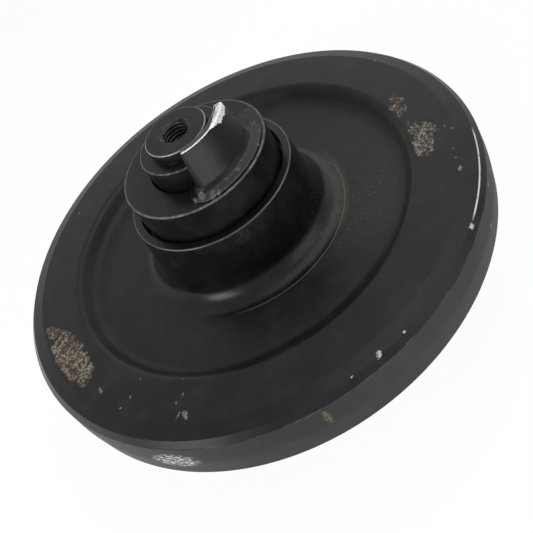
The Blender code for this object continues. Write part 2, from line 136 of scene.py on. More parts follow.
class Finish:
    """A material made of nodes, whose last shader the methods feed."""

    def __init__(self, name, shader="ShaderNodeBsdfPrincipled"):
        self.material = bpy.data.materials.new(name)
        self.material.use_nodes = True
        self.tree = self.material.node_tree
        self.tree.nodes.clear()
        self.shader = self.tree.nodes.new(shader)
        self.output = self.tree.nodes.new("ShaderNodeOutputMaterial")
        self.tree.links.new(self.shader.outputs[0], self.output.inputs["Surface"])

    def node(self, kind, settings=None, values=()):
        """Add a node: its settings first, then what its inputs, by place or by name, are fed."""
        node = self.tree.nodes.new(kind)
        for name, setting in (settings or {}).items():
            setattr(node, name, setting)
        pairs = values.items() if isinstance(values, dict) else enumerate(values)
        for place, value in pairs:
            if isinstance(value, Field):
                self.tree.links.new(value.socket, node.inputs[place])
            else:
                node.inputs[place].default_value = value
        return Field(self, node.outputs[0])

    def set(self, **sockets):
        """Set or feed the shader's inputs; an underscore stands for a space in a name."""
        for name, value in sockets.items():
            socket = self.shader.inputs[name.replace("_", " ")]
            if isinstance(value, Field):
                self.tree.links.new(value.socket, socket)
            else:
                socket.default_value = value

    def place(self):
        """A point's place on its own piece."""
        return self.node("ShaderNodeTexCoord")["Object"]

    def noise(self, vector, scale, detail=3.0, roughness=0.55):
        values = {"Vector": vector, "Scale": scale, "Detail": detail, "Roughness": roughness}
        return self.node("ShaderNodeTexNoise", {}, values)

    def specks(self, vector, scale, size):
        """1 at the middle of scattered specks, 0 past their size, as a share of their spacing."""
        values = {"Vector": vector, "Scale": scale}
        return self.node("ShaderNodeTexVoronoi", {}, values).between(size, 0.2 * size)

    def mix(self, mask, first, second):
        """The first colour or value where the mask is 0, the second where it is 1."""
        node = self.node("ShaderNodeMix", {"data_type": "RGBA", "clamp_factor": True})
        inputs = node.socket.node.inputs
        for socket, value in ((inputs[0], mask), (inputs[6], first), (inputs[7], second)):
            if isinstance(value, Field):
                self.tree.links.new(value.socket, socket)
            else:
                socket.default_value = value if isinstance(value, float) else (*value, 1.0)
        return Field(self, node.socket.node.outputs[2])

    def bump(self, height):
        """The normal of a relief whose height is in millimetres."""
        return self.node("ShaderNodeBump", {}, {"Strength": 1.0, "Distance": MM, "Height": height})


def by_ray(finish, seen, mirrored, unseen):
    """Join shaders for the camera's view, for reflections and for the light on the object."""
    path = finish.node("ShaderNodeLightPath")
    bounced = path["Is Glossy Ray"] + path["Is Transmission Ray"]
    other = finish.node("ShaderNodeMixShader", {}, [bounced, unseen, mirrored])
    joined = finish.node("ShaderNodeMixShader", {}, [path["Is Camera Ray"], other, seen])
    finish.tree.links.new(joined.socket, finish.output.inputs["Surface"])


floor_mesh = bpy.data.meshes.new("floor")
half = FLOOR_SIZE / 2
floor_mesh.from_pydata(
    [(-half, -half, FLOOR_HEIGHT), (half, -half, FLOOR_HEIGHT), (half, half, FLOOR_HEIGHT),
     (-half, half, FLOOR_HEIGHT)],
    [],
    [(0, 1, 2, 3)],
)
floor = bpy.data.objects.new("floor", floor_mesh)
scene.collection.objects.link(floor)
floor_finish = Finish("white_floor", "ShaderNodeBsdfDiffuse")
floor_finish.set(Color=(WHITE_FLOOR, WHITE_FLOOR, WHITE_FLOOR, 1.0))
shaded = Field(floor_finish, floor_finish.shader.outputs[0])
dim = floor_finish.node("ShaderNodeBsdfDiffuse", {}, [(DIM_FLOOR, DIM_FLOOR, DIM_FLOOR, 1.0)])
white = floor_finish.node("ShaderNodeEmission", {}, [(*WHITE, 1.0), FLOOR_GLARE])
faint_shadow = floor_finish.node("ShaderNodeMixShader", {}, [SHADOW_SHARE, white, shaded])
floor_place = floor_finish.node("ShaderNodeSeparateXYZ", {}, [floor_finish.place()])
side = floor_place["X"].between(0.35, 0.0)
front = floor_place["Y"].between(-0.32, -0.52) * floor_place["X"].between(0.19, -0.17)
lit = floor_finish.mix(side * (SIDE_GLOW / GLOW) + front * (FRONT_GLOW / GLOW), BLACK, WHITE)
glow = floor_finish.node("ShaderNodeEmission", {}, [lit, GLOW])
lit_dim = floor_finish.node("ShaderNodeAddShader", {}, [glow, dim])
lit_white = floor_finish.node("ShaderNodeAddShader", {}, [glow, faint_shadow])
by_ray(floor_finish, faint_shadow, lit_white, lit_dim)
floor_mesh.materials.append(floor_finish.material)

world = bpy.data.worlds.new("world")
scene.world = world
world.use_nodes = True
nodes, links = world.node_tree.nodes, world.node_tree.links
ray = nodes.new("ShaderNodeLightPath").outputs
mirrored, sees_white = nodes.new("ShaderNodeMath"), nodes.new("ShaderNodeMath")
links.new(ray["Is Glossy Ray"], mirrored.inputs[0])
links.new(ray["Is Transmission Ray"], mirrored.inputs[1])
links.new(mirrored.outputs[0], sees_white.inputs[0])
links.new(ray["Is Camera Ray"], sees_white.inputs[1])
level = nodes.new("ShaderNodeMapRange")
level.inputs["To Min"].default_value = SURROUNDINGS
level.inputs["To Max"].default_value = 1.0
links.new(sees_white.outputs[0], level.inputs["Value"])
links.new(level.outputs[0], nodes["Background"].inputs["Strength"])
nodes["Background"].inputs["Color"].default_value = (*WHITE, 1.0)


def soft_box(name, azimuth, elevation, size, radiance):
    """A square area lamp that faces the idler from a direction given from the camera's axes.

    Azimuth 0 is the camera's side and 90 its right, elevation 90 its top, all in degrees.
    """
    azimuth, elevation = math.radians(azimuth), math.radians(elevation)
    level = math.cos(elevation)
    towards = (
        level * math.sin(azimuth) * CAMERA_RIGHT
        + math.sin(elevation) * CAMERA_UP
        + level * math.cos(azimuth) * CAMERA_BACK
    )
    data = bpy.data.lights.new(name, "AREA")
    data.shape = "SQUARE"
    data.size = size
    data.energy = radiance * math.pi * size * size
    lamp = bpy.data.objects.new(name, data)
    lamp.location = LAMP_DISTANCE * towards
    lamp.rotation_euler = (-towards).to_track_quat("-Z", "Y").to_euler()
    scene.collection.objects.link(lamp)


soft_box("box_above_camera", -18, 50, 0.9, 1.4)
soft_box("box_overhead", 30, 84, 1.3, 0.42)
soft_box("box_right", 32, 20, 0.8, 1.5)
soft_box("box_low_left", -50, -27, 0.5, 7.5)
soft_box("box_far_left", -100, -32, 0.5, 1.3)


# Idler wheel: a cast steel disc with rim, dished web and tall hub, turned where it rolls, seals
# and faces the seals' collars, and painted black. Its paint is scuffed and chipped from transport.
WHEEL_SIDES = 272
STRAIGHT_STEP = 8.0 * MM
EDGE_STEP = 0.35 * MM
ARC_STEP, ARC_TURN, ARC_LIMIT = 0.5 * MM, math.radians(12), 20
CAST_WAVE = 0.07 * MM


def rounded_section(corners):
    """Points (radius, height) along a section whose corners are (radius, height, fillet radius).

    Each fillet is an arc tangent to its two sides. It has a step for each half millimetre, up to
    20 of them, but no fewer than 3 or than one for each 12 degrees of its turn.
    """
    points = []
    count = len(corners)
    for index, (r, z, fillet) in enumerate(corners):
        here = np.array((r, z))
        if not fillet:
            points.append(here)
            continue
        before = np.array(corners[index - 1][:2]) - here
        after = np.array(corners[(index + 1) % count][:2]) - here
        long_before, long_after = np.linalg.norm(before), np.linalg.norm(after)
        before, after = before / long_before, after / long_after
        half_angle = math.acos(np.clip(before @ after, -1, 1)) / 2
        tangent = min(fillet / math.tan(half_angle), 0.47 * long_before, 0.47 * long_after)
        radius = tangent * math.tan(half_angle)
        middle = (before + after) / np.linalg.norm(before + after)
        centre = here + middle * radius / math.sin(half_angle)
        sweep = math.pi - 2 * half_angle
        steps = max(3, int(sweep / ARC_TURN), int(min(radius * sweep / ARC_STEP, ARC_LIMIT)))
        first, last = here + before * tangent - centre, here + after * tangent - centre
        share = np.linspace(0, 1, steps + 1)
        arc = (np.sin((1 - share) * sweep)[:, None] * first + np.sin(share * sweep)[:, None] * last)
        points.extend(centre + arc / math.sin(sweep))
    return np.array(points)


def with_straights(points, closed=True):
    """Add points along straight runs: one a short step in from each end, the rest evenly."""
    ends = np.roll(points, -1, axis=0) if closed else points[1:]
    runs = []
    for start, end in zip(points, ends):
        length = np.linalg.norm(end - start)
        if length < 5 * EDGE_STEP:
            shares = np.array([0.0])
        else:
            inner = np.linspace(EDGE_STEP, length - EDGE_STEP, 2 + int(length / STRAIGHT_STEP))
            shares = np.concatenate([[0.0], inner / length])
        runs.append(start + shares[:, None] * (end - start))
    if not closed:
        runs.append(points[-1:])
    return np.concatenate(runs)


def closed_mesh(mesh):
    """The mesh with its doubled points merged and its faces turned outwards."""
    shape = bmesh.new()
    shape.from_mesh(mesh)
    bmesh.ops.remove_doubles(shape, verts=shape.verts, dist=0.001 * MM)
    bmesh.ops.recalc_face_normals(shape, faces=shape.faces)
    if shape.calc_volume(signed=True) < 0:
        bmesh.ops.reverse_faces(shape, faces=shape.faces)
    shape.to_mesh(mesh)
    shape.free()
    return mesh


def quads(index):
    """Faces between neighbouring rows and columns of a grid of point numbers."""
    corners = [index[:-1, :-1], index[1:, :-1], index[1:, 1:], index[:-1, 1:]]
    return np.stack(corners, axis=-1).reshape(-1, 4)


def grid_mesh(name, grid, close_rows=True):
    """Mesh of a grid of points (rows, columns, 3) that closes round its columns."""
    rows, columns = grid.shape[:2]
    index = np.arange(rows * columns).reshape(rows, columns)
    if close_rows:
        index = np.concatenate([index, index[:1]])
    index = np.concatenate([index, index[:, :1]], axis=1)
    mesh = bpy.data.meshes.new(name)
    mesh.from_pydata(grid.reshape(-1, 3), [], quads(index))
    return closed_mesh(mesh)


def turned_grid(section, sides):
    """Grid of a section of (radius, height) turned about Z: (r cos a, r sin a, z)."""
    angle = np.linspace(0, 2 * np.pi, sides, endpoint=False)
    r, z = section[:, :1], section[:, 1:]
    return np.stack([r * np.cos(angle), r * np.sin(angle), z + 0 * angle], axis=-1)


def add_piece(name, mesh, body, nodes, finish, sharp=35):
    """Put a mesh in the scene in place of CAD nodes, smooth but for its sharp edges."""
    piece = bpy.data.objects.new(name, mesh)
    scene.collection.objects.link(piece)
    mesh.shade_smooth()
    mesh.set_sharp_from_angle(angle=math.radians(sharp))
    mesh.materials.append(finish.material)
    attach(piece, body)
    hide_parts(*nodes)


def both_ends(section):
    """A front section and its mirror image in the wheel's middle plane, as one closed run."""
    mirrored = [(r, -z, fillet) for r, z, fillet in reversed(section) if z > 0]
    return section + mirrored


TREAD_RADIUS, TREAD_ROUND = 201.0 * MM, 60 * MM
WHEEL_SECTION = [
    (43.0, 7.7, 0), (39.7, 11.0, 0), (39.7, 42.0, 0), (45.0, 42.0, 0), (45.0, 47.5, 0.4),
    (49.96, 47.5, 0.6), (52.83, 58.2, 0.5), (61.43, 58.2, 0.8), (61.43, 69.0, 0.9),
    (68.23, 69.0, 1.3), (73.53, 13.5, 17.0), (138.0, 13.5, 12.0), (148.0, 25.9, 8.0),
    (185.0, 25.9, 1.6), (195.8, 22.9, 0.9), (200.0, 18.3, 1.2),
]
wheel_points = both_ends([(r * MM, z * MM, fillet * MM) for r, z, fillet in WHEEL_SECTION])
wheel_points.insert(len(WHEEL_SECTION), (TREAD_RADIUS, 0.0, TREAD_ROUND))
wheel_grid = turned_grid(with_straights(rounded_section(wheel_points)), WHEEL_SIDES)

# The raw casting of the web and the fillets isn't quite true: a slow wave of a tenth of a
# millimetre, summed from a few sines of the angle and the radius.
angle = np.arctan2(wheel_grid[..., 1], wheel_grid[..., 0])
radius = np.hypot(wheel_grid[..., 0], wheel_grid[..., 1]) / MM
raw = np.clip((radius - 76) / 8, 0, 1) * np.clip((144 - radius) / 8, 0, 1)
wave = np.sin(3 * angle + 0.05 * radius) + 0.6 * np.sin(7 * angle - 0.11 * radius + 1.3)
wave = wave + 0.4 * np.sin(11 * angle + 0.23 * radius + 0.4)
wheel_grid[..., 2] += CAST_WAVE * raw * (wave - 2.0) * np.sign(wheel_grid[..., 2])


PAINT = (0.0054, 0.0056, 0.0062)
FADED = (0.0150, 0.0147, 0.0140)
DUSTY = (0.045, 0.041, 0.034)


class Paint(Finish):
    """Semi-gloss black paint on steel, with dust, worn edges and chips laid over it in turn."""

    def __init__(self, name):
        super().__init__(name)
        self.at = self.place()
        xyz = self.node("ShaderNodeSeparateXYZ", {}, [self.at])
        self.x, self.y, self.z = xyz["X"], xyz["Y"], xyz["Z"]
        self.radius = (self.x * self.x + self.y * self.y).math("SQRT")
        self.height = abs(self.z)
        self.grain = self.noise(self.at, 2600.0, 2.0)
        self.mottle = self.noise(self.at, 48.0, 9.0, 0.68)
        self.cloud = self.noise(self.at, 14.0, 2.0)
        self.colour = self.mix(self.mottle.between(0.42, 0.72), PAINT, FADED)
        self.rough = 0.24 + 0.12 * self.mottle + 0.10 * self.cloud
        self.metal = None
        self.relief = self.grain * 0.015

    def band(self, value, start, end, soft):
        """1 where a length in millimetres lies between two limits, fading over a soft margin."""
        low = value.between((start - soft) * MM, start * MM)
        return low * value.between((end + soft) * MM, end * MM)

    def edge(self, radius, height, width):
        """1 along a turned edge at a radius and a height, fading over a width, in millimetres."""
        across = self.radius - radius * MM
        up = self.height - height * MM
        away = (across * across + up * up).math("SQRT")
        return away.between(width * MM, 0.3 * width * MM)

    def patch(self, place, size, turn=0.0):
        """1 at the middle of an ellipsoid, 0 at its skin: place and size in mm, turn in degrees."""
        values = {
            "Vector": self.at,
            "Location": tuple(v * MM for v in place),
            "Rotation": (0.0, 0.0, math.radians(turn)),
            "Scale": tuple(v * MM for v in size),
        }
        local = self.node("ShaderNodeMapping", {"vector_type": "TEXTURE"}, values)
        length = self.node("ShaderNodeVectorMath", {"operation": "LENGTH"}, [local])
        return 1.0 - length["Value"].between(0.0, 1.0, smooth=False)

    def marks(self, places, height):
        """The largest of several patches that share a height and a depth of 3 mm."""
        total = None
        for x, y, length, width, turn in places:
            patch = self.patch((x, y, height), (length, width, 3.0), turn)
            total = patch if total is None else total.math("MAXIMUM", patch)
        return total

    def lay(self, mask, colour, rough, metal=0.0, depth=0.0):
        """Lay one finish over what is there, where the mask is 1; depth is its relief in mm."""
        self.colour = self.mix(mask, self.colour, colour)
        self.rough = self.rough + mask * (rough - self.rough)
        if metal and self.metal is None:
            self.metal = mask * metal
        elif metal:
            self.metal = self.metal + mask * (metal - self.metal)
        if depth:
            self.relief = self.relief + mask * depth

    def finish(self, gloss):
        """Feed all that was laid to the shader, whose specular level is the gloss."""
        self.set(Base_Color=self.colour, Roughness=self.rough, Specular_IOR_Level=gloss)
        if self.metal is not None:
            self.set(Metallic=self.metal)
        self.set(Normal=self.bump(self.relief))


wheel_paint = Paint("wheel_black_paint")
p = wheel_paint
cast_skin = p.band(p.radius, 90.5, 146, 0.8)
p.relief = p.relief + cast_skin * p.noise(p.at, 420.0, 5.0, 0.65) * 0.10
p.rough = p.rough - p.radius.between(91 * MM, 89 * MM) * 0.08 + cast_skin * 0.06
turning_marks = (p.radius * (2 * math.pi / (0.9 * MM))).math("SINE")
p.relief = p.relief + p.band(p.radius, 150, 196, 3) * turning_marks * 0.0025
fine = p.noise(p.at, 260.0, 6.0, 0.7)
sharp = p.noise(p.at, 900.0, 4.0, 0.7)

# Dust lies on the web, most of it on the side of the hub that the photograph shows at its right.
web_dust = cast_skin * p.patch((60, -70, 13), (115, 95, 60)).between(0.05, 0.7)
p.lay(web_dust * (0.35 + 0.65 * fine.between(0.45, 0.75)), DUSTY, 0.7)
rust_tint = p.patch((-72, 90, 13), (42, 30, 40)) + p.patch((-93, 52, 13), (30, 30, 40))
rust_tint = (rust_tint + p.patch((80, -108, 13), (28, 22, 40))).between(0.1, 0.9)
p.lay(cast_skin * rust_tint * fine.between(0.5, 0.7) * 0.4, (0.060, 0.030, 0.026), 0.6)
foot = p.band(p.radius, 83, 92, 3) * p.patch((60, -66, 20), (75, 60, 30), -45).between(0.05, 0.5)
p.lay(foot * (0.25 + 0.75 * sharp.between(0.45, 0.62)), (0.085, 0.080, 0.068), 0.75)
specks = p.specks(p.at, 330.0, 0.15) * p.patch((55, -72, 14), (75, 60, 30)).between(0.0, 0.4)
specks = specks + p.specks(p.at, 620.0, 0.14) * foot
p.lay(specks * 0.85, (0.34, 0.32, 0.27), 0.8)
on_hub = p.patch((-35, -57, 61), (10, 7, 7), 30).between(0.0, 0.5)
p.lay(on_hub * sharp.between(0.5, 0.65) * 0.6, (0.08, 0.075, 0.06), 0.7)

# Edges where the paint is rubbed thin: the hub's end and the tread's edges, with one long bare
# scratch.
# Also a painted highlight: a thin light line along the line where the hub's turned foot stops.
hub_edge = p.edge(68.1, 68.9, 0.9) * (0.5 + 0.5 * p.cloud.between(0.4, 0.6))
p.lay(hub_edge, (0.15, 0.15, 0.15), 0.4, 0.3)
p.lay(p.edge(61.6, 68.9, 0.8) * p.cloud.between(0.4, 0.6) * 0.5, (0.13, 0.13, 0.13), 0.4, 0.3)
# Painted highlight: a thin light line along the seam where the turned foot stops, laid only over
# the part of its round that catches the light.
foot_seam_highlight = p.band(p.radius, 90.1, 90.4, 0.35)
foot_seam_highlight = foot_seam_highlight * p.patch((10, -85, 15), (120, 60, 30)).between(0, 0.3)
p.lay(foot_seam_highlight * (0.45 + 0.3 * p.mottle), (0.20, 0.20, 0.19), 0.4)
p.lay(p.edge(200.0, 18.3, 0.8) * p.mottle.between(0.45, 0.60) * 0.2, (0.20, 0.20, 0.20), 0.4, 0.3)
scratch = p.edge(195.9, 22.7, 0.85) * p.patch((84, -176, 22), (50, 16, 10), 25.5).between(0.0, 0.25)
p.lay(scratch * fine.between(0.30, 0.42), (0.72, 0.72, 0.71), 0.45, 0.3)

# Chipped places, each a list of ellipsoids in plan: x, y, half length, half width, turn.
chipped = p.marks([
    (-160, 59, 50, 16, 73), (-150, 88, 24, 8, 85), (133, -83, 20, 9, 40), (113, -116, 20, 11, 75),
    (98, -125, 19, 11, 40),
], 25.9)
uneven = (p.noise(p.at, 75.0, 3.0) - 0.5) * 0.9
chipped = (chipped + uneven * chipped.between(0.0, 0.3)).between(0.05, 0.4)
grains = p.noise(p.at, 150.0, 7.0, 0.8)
shade = p.noise(p.at, 120.0, 3.0)
warm = p.mix(p.x.between(-20 * MM, 20 * MM), (0.27, 0.20, 0.135), (0.19, 0.175, 0.145))
chips = p.mix(shade.between(0.42, 0.6), warm, (0.33, 0.305, 0.255))
coarse = p.noise(p.at, 430.0, 4.0, 0.7)
chips = p.mix(coarse.between(0.42, 0.58), (0.045, 0.028, 0.020), chips)
under = chipped.between(0.25, 0.7) * fine.between(0.40, 0.58) * p.x.between(40 * MM, -20 * MM) * 0.6
under_colour = p.mix(p.y.between(50 * MM, 85 * MM), (0.105, 0.080, 0.060), (0.085, 0.083, 0.078))
p.lay(under, under_colour, 0.7)
ragged = (chipped * 0.9 + (grains - 0.5) * 3.0 + (shade - 0.5) * 1.6).between(0.62, 0.92)
p.lay(ragged * chipped.between(0.0, 0.2), chips, 0.75, 0.0, -0.12)
spots = p.marks([
    (81, -164, 4.5, 2.8, 20), (90, -156, 1.4, 1.1, 0), (98, -150, 1.6, 1.2, 0),
    (118, -133, 1.5, 1.2, 0), (117, -140, 1.3, 1.3, 0), (185, -67, 2.2, 1.2, 70),
    (182, -34, 1.8, 1.2, 80), (-150, -61, 2.4, 1.0, 20), (-162, -73, 6.0, 3.2, 60),
    (-157, -60, 3.0, 0.9, 40), (-178, -18, 1.6, 1.2, 0), (-168, -20, 3.0, 0.8, 30),
    (-153, -18, 1.4, 1.0, 0), (-37, 172, 1.8, 1.0, 10), (0, 161, 1.6, 1.0, 0),
    (-173, 10, 5.0, 2.0, 60), (-165, -68, 5.0, 1.0, 10), (-140, -52, 1.4, 1.0, 0),
], 25.9)
spotted = (spots.between(0.0, 0.6) * 0.8 + (sharp - 0.5) * 3.6).between(0.60, 0.78)
spotted = spotted * spots.between(0.0, 0.1)
spot_colour = p.mix(shade.between(0.45, 0.6), (0.31, 0.26, 0.205), (0.37, 0.35, 0.31))
p.lay(spotted, spot_colour, 0.7, 0.0, -0.08)
bevel_chips = p.marks([
    (-73, -180, 4.0, 2.4, 10), (-53, -188, 1.6, 1.2, 0), (-94, -171, 1.6, 1.0, 0),
    (37, -193, 3.5, 2.2, 10),
], 22.5)
chipped_bevel = (bevel_chips * 1.2 + (sharp - 0.5) * 2.8).between(0.4, 0.5)
p.lay(chipped_bevel * bevel_chips.between(0.0, 0.1), (0.60, 0.60, 0.56), 0.55, 0.0, -0.08)
drip = p.patch((-120, -161, 8), (3.0, 3.0, 10)).between(0.0, 0.5) * sharp.between(0.46, 0.60)
p.lay(drip * 0.8, (0.22, 0.18, 0.075), 0.5)
scuff = p.patch((-189, -68, 2), (23, 7, 11), -70).between(0.0, 0.45)
streaks = p.node("ShaderNodeMapping", {}, {"Vector": p.at, "Scale": (1.0, 1.0, 3.0)})
scuff = scuff * p.noise(streaks, 260.0, 6.0, 0.75).between(0.47, 0.55)
p.lay(scuff, (0.50, 0.50, 0.49), 0.55)
tread_spots = p.patch((98, -176, 8), (2.5, 2.5, 3.5)) + p.patch((80, -185, 15), (4, 3, 2))
tread_spots = tread_spots + p.patch((56, -194, 0), (3, 2, 3))
p.lay(tread_spots.between(0.1, 0.4) * sharp.between(0.45, 0.6), (0.34, 0.33, 0.31), 0.6)
tread = p.radius.between(199.5 * MM, 200.1 * MM)
p.rough = p.rough + tread * 0.20
p.lay(tread * fine.between(0.55, 0.75) * 0.25, (0.030, 0.030, 0.031), 0.55)
p.finish(gloss=0.19)

add_piece(
    "wheel_casting", grid_mesh("wheel_casting", wheel_grid), "wheel",
    ["idler_wheel"], wheel_paint,
)


# Collars: cast steel, turned all over but for the arc-shaped lug and the pad left round its foot,
# and painted black in place. The lug's end is rubbed to bare metal where it slid in its bracket.
COLLAR_FACE = 95.5 * MM
LUG_TOP = 130.9 * MM
BORE_LINE = 36.3 * MM
# The lug's pad and its wall in plan: outer radius, half angle and corner radius.
PAD = (56.83 * MM, math.radians(52), 12.0 * MM)
WALL = (46.3 * MM, math.radians(43), 5.5 * MM)
PAD_HEIGHT, PAD_EDGE = 1.6 * MM, 0.8 * MM
WALL_DRAFT = math.radians(8.2)
END_FILLET, SIDE_FILLET, TOP_ROUND = 4.2 * MM, 5.0 * MM, 1.2 * MM
TOP_INSET = 5.0 * MM
INNER_EDGE = 0.5 * MM
PIN_HOLE, PIN_HEIGHT = 4.3 * MM, 88.9 * MM
ARC_COLUMNS, CORNER_COLUMNS, END_COLUMNS = 30, 16, 6
FREE_COLUMNS = 170
FOOT_ROWS, WALL_ROWS, TOP_ROWS = 17, 8, 9
DRILL_SIDES = 64
RIM_SPREAD = math.radians(75)
COLLAR_SECTION = [
    (57.43, 95.5, 0), (59.43, 95.5, 1.98), (59.43, 62.6, 0.3), (58.63, 61.8, 0.3),
    (52.83, 61.8, 0.4), (49.96, 72.5, 0.6), (40.3, 72.5, 0.4), (40.3, 45.6, 0.5), (34.8, 45.6, 0.4),
    (34.8, 76.5, 0), (39.1, 76.5, 0), (39.1, 81.5, 0), (34.8, 81.5, 0), (34.8, 94.0, 0),
    (36.3, 95.5, 0),
]


def polar(radius, angle):
    """Points in plan at angles from -Y towards +X."""
    return np.stack([radius * np.sin(angle), -radius * np.cos(angle)], axis=-1)


def lug_line(outer, half_angle, corner_radius, offset):
    """Plan of an arc-shaped block from one end of its inner wall round the outside to the other.

    Its outer arc and its corner arcs grow by the offset about fixed centres, and its straight ends
    move outwards by the offset, parallel to radial lines.
    """
    end_angle = half_angle + math.asin(offset / BORE_LINE)
    reach = outer - corner_radius
    corner_angle = half_angle - math.asin(corner_radius / reach)
    arc = polar(outer + offset, np.linspace(0, corner_angle, ARC_COLUMNS))
    turn = np.linspace(corner_angle, math.pi / 2 + half_angle, CORNER_COLUMNS + 1)[1:]
    corner = polar(reach, corner_angle) + polar(corner_radius + offset, turn)
    share = np.linspace(0, 1, END_COLUMNS + 1)[1:, None]
    end = corner[-1] + share * (polar(BORE_LINE, end_angle) - corner[-1])
    half = np.concatenate([arc, corner, end])
    return np.concatenate([half[:0:-1] * (-1, 1), half])


def at_height(plan, height):
    """Points in space of a plan, at one height or at a height for each of them."""
    return np.column_stack([plan, np.broadcast_to(height, len(plan))])


def collar_meshes():
    """The collar's grids of points: what is turned, the face beside the lug, and the lug itself.

    Turned: (r sin a, -r cos a, z) with the columns' angles a shifting from those of the rim to
    those of the bore. Lug: outlines stacked over its height, then arcs back down its inner wall.
    """
    pad_corner = PAD[1] - math.asin(PAD[2] / (PAD[0] - PAD[2]))
    beyond = CORNER_COLUMNS + END_COLUMNS
    rim_half = np.concatenate([
        np.linspace(0, pad_corner, ARC_COLUMNS),
        np.linspace(pad_corner, RIM_SPREAD, beyond + 1)[1:],
    ])
    rim_lug = np.concatenate([-rim_half[:0:-1], rim_half])
    lug_count = len(rim_lug)
    bore_lug = np.linspace(-PAD[1], PAD[1], lug_count)
    rim_free = np.linspace(RIM_SPREAD, 2 * math.pi - RIM_SPREAD, FREE_COLUMNS + 2)
    bore_free = np.linspace(PAD[1], 2 * math.pi - PAD[1], FREE_COLUMNS + 2)
    rim = np.concatenate([rim_lug, rim_free[1:-1]])
    bore = np.concatenate([bore_lug, bore_free[1:-1]])

    section = [(r * MM, z * MM, fillet * MM) for r, z, fillet in COLLAR_SECTION]
    section = with_straights(rounded_section(section), closed=False)
    share = np.linspace(0, 1, len(section))[:, None]
    angles = rim + share * (bore - rim)
    r, z = section[:, :1], section[:, 1:]
    turned = np.stack([r * np.sin(angles), -r * np.cos(angles), z + 0 * angles], axis=-1)

    across = np.array([0, 0.04, 0.35, 0.7, 1.0])[:, None, None]
    rim_radius = section[0, 0]
    free = np.stack([at_height(polar(rim_radius, rim_free), COLLAR_FACE),
                     at_height(polar(BORE_LINE, bore_free), COLLAR_FACE)])
    face = free[0] + across * (free[1] - free[0])

    rows = [(COLLAR_FACE + h * MM, lug_line(*PAD, 0.0)) for h in (0.0, 0.25, 0.5)]
    for turn in np.radians(np.linspace(0, 90, 5)):
        height = PAD_HEIGHT - PAD_EDGE * (1 - math.sin(turn))
        rows.append((COLLAR_FACE + height, lug_line(*PAD, -PAD_EDGE * (1 - math.cos(turn)))))
    pad_top = rows[-1][1]
    length = LUG_TOP - COLLAR_FACE
    from_end = np.minimum(np.arange(lug_count), np.arange(lug_count)[::-1])
    side = np.clip((from_end - 0.4 * beyond) / (0.9 * beyond), 0, 1)[:, None]
    side = side * side * (3 - 2 * side)

    def wall_row(radius_share, rise):
        """The wall's outline after a turn through its foot fillet, or some way up above it."""
        plans, heights = [], []
        for fillet in (END_FILLET, SIDE_FILLET):
            height = PAD_HEIGHT + fillet * (1 - math.sin(radius_share))
            height += rise * (length - TOP_ROUND - height)
            offset = (length - TOP_ROUND - height) * math.tan(WALL_DRAFT) - TOP_INSET + TOP_ROUND
            plans.append(lug_line(*WALL, offset + fillet * (1 - math.cos(radius_share))))
            heights.append(height)
        plan = plans[0] + side * (plans[1] - plans[0])
        return COLLAR_FACE + heights[0] + side[:, 0] * (heights[1] - heights[0]), plan

    outlines = [wall_row(turn, 0.0) for turn in np.radians(np.linspace(90, 0, FOOT_ROWS))]
    foot = outlines[0][1]
    rows += [(COLLAR_FACE + PAD_HEIGHT, pad_top + t * (foot - pad_top)) for t in (0.1, 0.5, 0.9)]
    rows += outlines
    rows += [wall_row(0.0, rise) for rise in np.linspace(0, 1, WALL_ROWS)[1:-1]]
    for turn in np.radians(np.linspace(0, 90, TOP_ROWS)):
        height = length - TOP_ROUND * (1 - math.sin(turn))
        offset = TOP_ROUND * math.cos(turn) - TOP_INSET
        rows.append((COLLAR_FACE + height, lug_line(*WALL, offset)))
    outside = np.stack([at_height(plan, height) for height, plan in rows])

    start = at_height(polar(rim_radius, rim_lug), COLLAR_FACE)
    lead = start + across[:-1] * (outside[0] - start)
    edge = INNER_EDGE * np.clip(from_end / 8.0, 0, 1)
    top = outside[-1]
    top_angle = math.atan2(top[-1, 0], -top[-1, 1])
    arc = np.linspace(-top_angle, top_angle, lug_count)
    over = []
    for turn in np.radians((0, 30, 60, 90)):
        plan = polar(BORE_LINE + edge * (1 - math.sin(turn)), arc)
        over.append(at_height(plan, LUG_TOP - edge * (1 - math.cos(turn))))
    land = [top + t * (over[0] - top) for t in (0.06, 0.35, 0.65, 0.94)]
    inside = []
    for row in outside[:-1][::-1]:
        end_angle = math.atan2(row[-1, 0], -row[-1, 1])
        plan = polar(BORE_LINE, np.linspace(-end_angle, end_angle, lug_count))
        inside.append(at_height(plan, np.minimum(row[0, 2], LUG_TOP - edge)))
        inside[-1][0], inside[-1][-1] = row[0], row[-1]
    lug = np.concatenate([lead, outside, land, over, inside])
    return turned, face, lug


def join_meshes(name, grids):
    """One mesh of grids that share their border points; the first closes round its columns."""
    points, faces, count = [], [], 0
    for place, grid in enumerate(grids):
        rows, columns = grid.shape[:2]
        index = np.arange(rows * columns).reshape(rows, columns) + count
        if place == 0:
            index = np.concatenate([index, index[:, :1]], axis=1)
        points.append(grid.reshape(-1, 3))
        faces.append(quads(index))
        count += rows * columns
    mesh = bpy.data.meshes.new(name)
    mesh.from_pydata(np.concatenate(points), [], np.concatenate(faces))
    return closed_mesh(mesh)


